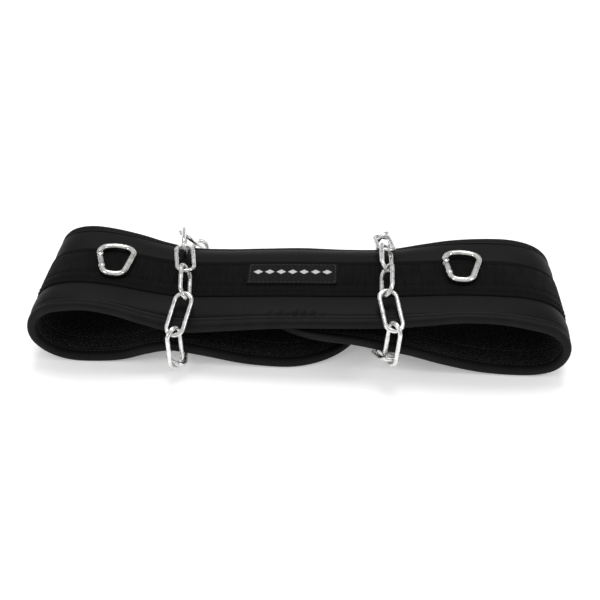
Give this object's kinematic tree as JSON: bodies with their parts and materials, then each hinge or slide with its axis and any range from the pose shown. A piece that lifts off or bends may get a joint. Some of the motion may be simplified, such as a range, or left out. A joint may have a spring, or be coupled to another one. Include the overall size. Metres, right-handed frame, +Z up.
{
  "type": "dip belt",
  "caption": "Padded waist belt closed to a flat loop, webbing on its outside, steel chains wrapped round it and sprung carabiners on top",
  "frame": {"origin": "on the floor the loop lies on, midway along the loop and midway between the belt's two long edges, within 3 mm of the centre of the box's underside", "axes": "+X along the loop's long side, +Y across the belt's width to the far edge, +Z up"},
  "size_m": [0.504, 0.1762, 0.0831],
  "materials": {
    "shell": "matte",
    "knit_lining": "matte",
    "binding": "matte",
    "webbing": "matte",
    "label": "satin",
    "chain_steel": "zinc plated, bright",
    "carabiner_steel": "nickel plated, bright"
  },
  "bodies": {
    "belt": {"belt_body": "shell", "lining": "knit_lining", "edge_binding": "binding", "webbing_strap": "webbing", "label_patch": "label", "left_link_01": "chain_steel", "left_link_02": "chain_steel", "left_link_03": "chain_steel", "left_link_04": "chain_steel", "left_link_05": "chain_steel", "left_link_06": "chain_steel", "left_link_07": "chain_steel", "left_link_08": "chain_steel", "left_link_09": "chain_steel", "left_link_10": "chain_steel", "left_link_11": "chain_steel", "right_link_01": "chain_steel", "right_link_02": "chain_steel", "right_link_03": "chain_steel", "right_link_04": "chain_steel", "right_link_05": "chain_steel", "right_link_06": "chain_steel", "right_link_07": "chain_steel", "right_link_08": "chain_steel", "right_link_09": "chain_steel", "right_link_10": "chain_steel", "right_link_11": "chain_steel", "left_carabiner": "carabiner_steel", "right_carabiner": "carabiner_steel"},
    "left_gate_body": {"left_gate": "carabiner_steel"},
    "right_gate_body": {"right_gate": "carabiner_steel"}
  },
  "joints": [
    {"name": "left_gate_hinge", "type": "hinge", "parent": "belt", "child": "left_gate_body", "pos_m": [-0.19292, 0.00749, 0.07281], "axis": [0.1426, 0.0035, 0.9898], "range_deg": [0, 25], "stiffness_Nm_per_rad": 0.02, "springref_deg": -11.46},
    {"name": "right_gate_hinge", "type": "hinge", "parent": "belt", "child": "right_gate_body", "pos_m": [0.1391, 0.01614, 0.07055], "axis": [-0.0279, 0.007, 0.9996], "range_deg": [0, 25], "stiffness_Nm_per_rad": 0.02, "springref_deg": -11.46}
  ]
}
